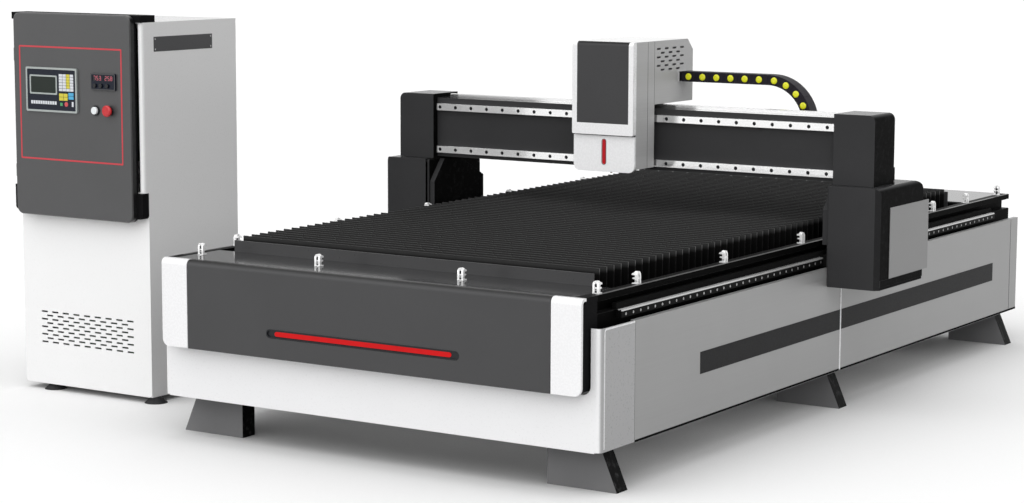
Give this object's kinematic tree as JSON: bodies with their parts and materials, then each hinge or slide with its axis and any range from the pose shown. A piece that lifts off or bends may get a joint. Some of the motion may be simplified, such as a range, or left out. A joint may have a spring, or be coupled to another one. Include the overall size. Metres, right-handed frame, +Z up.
{
  "type": "fiber laser cutting machine",
  "caption": "Flat-bed fibre laser cutter: slatted table on wedge feet, travelling gantry with rack-driven cutting head and cable chain, and a separate upright control cabinet.",
  "frame": {"origin": "on the floor, in the middle of the whole footprint of bed, gantry and cabinet", "axes": "+X across the bed to the operator's right, +Y along the bed away from the operator's end, +Z up"},
  "size_m": [3.845, 4.5184, 1.843],
  "materials": {
    "white_skin": "satin white powder coat",
    "grey_skin": "brushed, silver grey",
    "charcoal_panel": "satin charcoal",
    "black_paint": "semi-gloss black",
    "dark_stripe": "matte dark band",
    "frame_paint": "dull dark paint",
    "slat_steel": "bare dark steel",
    "deck_grey": "satin mid grey",
    "rail_steel": "ground steel",
    "rack_steel": "machined steel",
    "stop_chrome": "polished",
    "plate_metal": "brushed",
    "chain_plastic": "matte black",
    "light_red": "red diffuser",
    "motor_black": "satin black",
    "cutter_metal": "anodised silver",
    "nozzle_copper": "machined copper",
    "panel_black": "moulded dark grey",
    "board_metal": "zinc plated",
    "button_white": "glossy",
    "button_red": "glossy",
    "button_dark": "glossy"
  },
  "bodies": {
    "machine": {"side_beams": "black_paint", "bed_frame": "frame_paint", "side_panel_right": "grey_skin", "side_panel_left": "grey_skin", "front_skirt": "white_skin", "rear_panel": "grey_skin", "side_stripes": "dark_stripe", "front_housing": "black_paint", "front_cover": "charcoal_panel", "front_end_caps": "white_skin", "end_decks": "deck_grey", "light_bar": "light_red", "bed_feet": "black_paint", "bed_rails": "rail_steel", "bed_racks": "rack_steel", "table_walls": "deck_grey", "slat_combs": "frame_paint", "slats": "slat_steel", "edge_stops": "stop_chrome", "cabinet_body": "white_skin", "cabinet_front_panel": "white_skin", "console_hood": "black_paint", "cabinet_feet": "black_paint", "hinge_leaves": "board_metal", "cabinet_electrics": "board_metal"},
    "gantry": {"gantry_beam": "charcoal_panel", "beam_rails": "rail_steel", "beam_rack": "rack_steel", "gantry_legs": "black_paint", "upper_covers": "black_paint", "lower_covers": "black_paint", "leg_side_plates": "plate_metal", "bed_guide_blocks": "rack_steel", "y_motors": "motor_black", "chain_tray": "black_paint", "chain_lower_run": "chain_plastic"},
    "y_pinion_right": {"y_pinion_right": "rack_steel"},
    "y_pinion_left": {"y_pinion_left": "rack_steel"},
    "head": {"head_plate": "plate_metal", "z_drive": "motor_black", "head_guide_blocks": "rack_steel", "head_shell": "grey_skin", "head_front_frame": "white_skin", "head_front_panel": "charcoal_panel", "head_lower_cover": "white_skin", "head_light": "light_red", "x_motor": "motor_black", "chain_upper_run": "chain_plastic"},
    "x_pinion": {"x_pinion": "rack_steel"},
    "cutter": {"cutting_head": "cutter_metal", "nozzle": "nozzle_copper"},
    "chain_bend": {"chain_bend": "chain_plastic"},
    "door": {"console_door": "charcoal_panel", "cnc_panel": "panel_black", "meter_module": "panel_black"},
    "start_button": {"start_button": "button_white"},
    "estop_button": {"estop_button": "button_red"},
    "meter_button_left": {"meter_button_left": "button_dark"},
    "meter_button_middle": {"meter_button_middle": "button_dark"},
    "meter_button_right": {"meter_button_right": "button_dark"}
  },
  "joints": [
    {"name": "gantry_travel", "type": "slide", "parent": "machine", "child": "gantry", "axis": [0, 1, 0], "range_m": [-1.5, 1.5]},
    {"name": "y_pinion_right_turn", "type": "hinge", "parent": "gantry", "child": "y_pinion_right", "pos_m": [1.6698, 0.10375, 0.751], "axis": [0, 0, 1], "range_deg": [-1440, 1440]},
    {"name": "y_pinion_left_turn", "type": "hinge", "parent": "gantry", "child": "y_pinion_left", "pos_m": [-0.6068, 0.10375, 0.751], "axis": [0, 0, 1], "range_deg": [-1440, 1440]},
    {"name": "head_travel", "type": "slide", "parent": "gantry", "child": "head", "axis": [1, 0, 0], "range_m": [-0.75, 0.75]},
    {"name": "x_pinion_turn", "type": "hinge", "parent": "head", "child": "x_pinion", "pos_m": [0.5315, 0.03675, 1.4333], "axis": [0, 1, 0], "range_deg": [-1430, 1430]},
    {"name": "cutter_feed", "type": "slide", "parent": "head", "child": "cutter", "axis": [0, 0, 1], "range_m": [-0.18, 0]},
    {"name": "chain_bend_slide", "type": "slide", "parent": "head", "child": "chain_bend", "axis": [1, 0, 0], "range_m": [-0.38, 0.38], "deforming": ["chain_upper_run", "chain_lower_run"]},
    {"name": "door_hinge", "type": "hinge", "parent": "machine", "child": "door", "pos_m": [-1.8995, -1.74475, 1.3575], "axis": [0, 0, -1], "range_deg": [0, 105]},
    {"name": "start_push", "type": "slide", "parent": "door", "child": "start_button", "axis": [0, 1, 0], "range_m": [0, 0.005], "stiffness_N_per_m": 600, "springref_m": -0.003},
    {"name": "estop_push", "type": "slide", "parent": "door", "child": "estop_button", "axis": [0, 1, 0], "range_m": [0, 0.005], "stiffness_N_per_m": 1200, "springref_m": -0.003},
    {"name": "meter_left_push", "type": "slide", "parent": "door", "child": "meter_button_left", "axis": [0, 1, 0], "range_m": [0, 0.0025], "stiffness_N_per_m": 400, "springref_m": -0.003},
    {"name": "meter_middle_push", "type": "slide", "parent": "door", "child": "meter_button_middle", "axis": [0, 1, 0], "range_m": [0, 0.0025], "stiffness_N_per_m": 400, "springref_m": -0.003},
    {"name": "meter_right_push", "type": "slide", "parent": "door", "child": "meter_button_right", "axis": [0, 1, 0], "range_m": [0, 0.0025], "stiffness_N_per_m": 400, "springref_m": -0.003}
  ],
  "couplings": [
    {"joint": "y_pinion_right_turn", "follows": "gantry_travel", "rad_per_m": 16.584},
    {"joint": "y_pinion_left_turn", "follows": "gantry_travel", "rad_per_m": -16.584},
    {"joint": "x_pinion_turn", "follows": "head_travel", "rad_per_m": 33.003},
    {"joint": "chain_bend_slide", "follows": "head_travel", "ratio": -0.5}
  ]
}
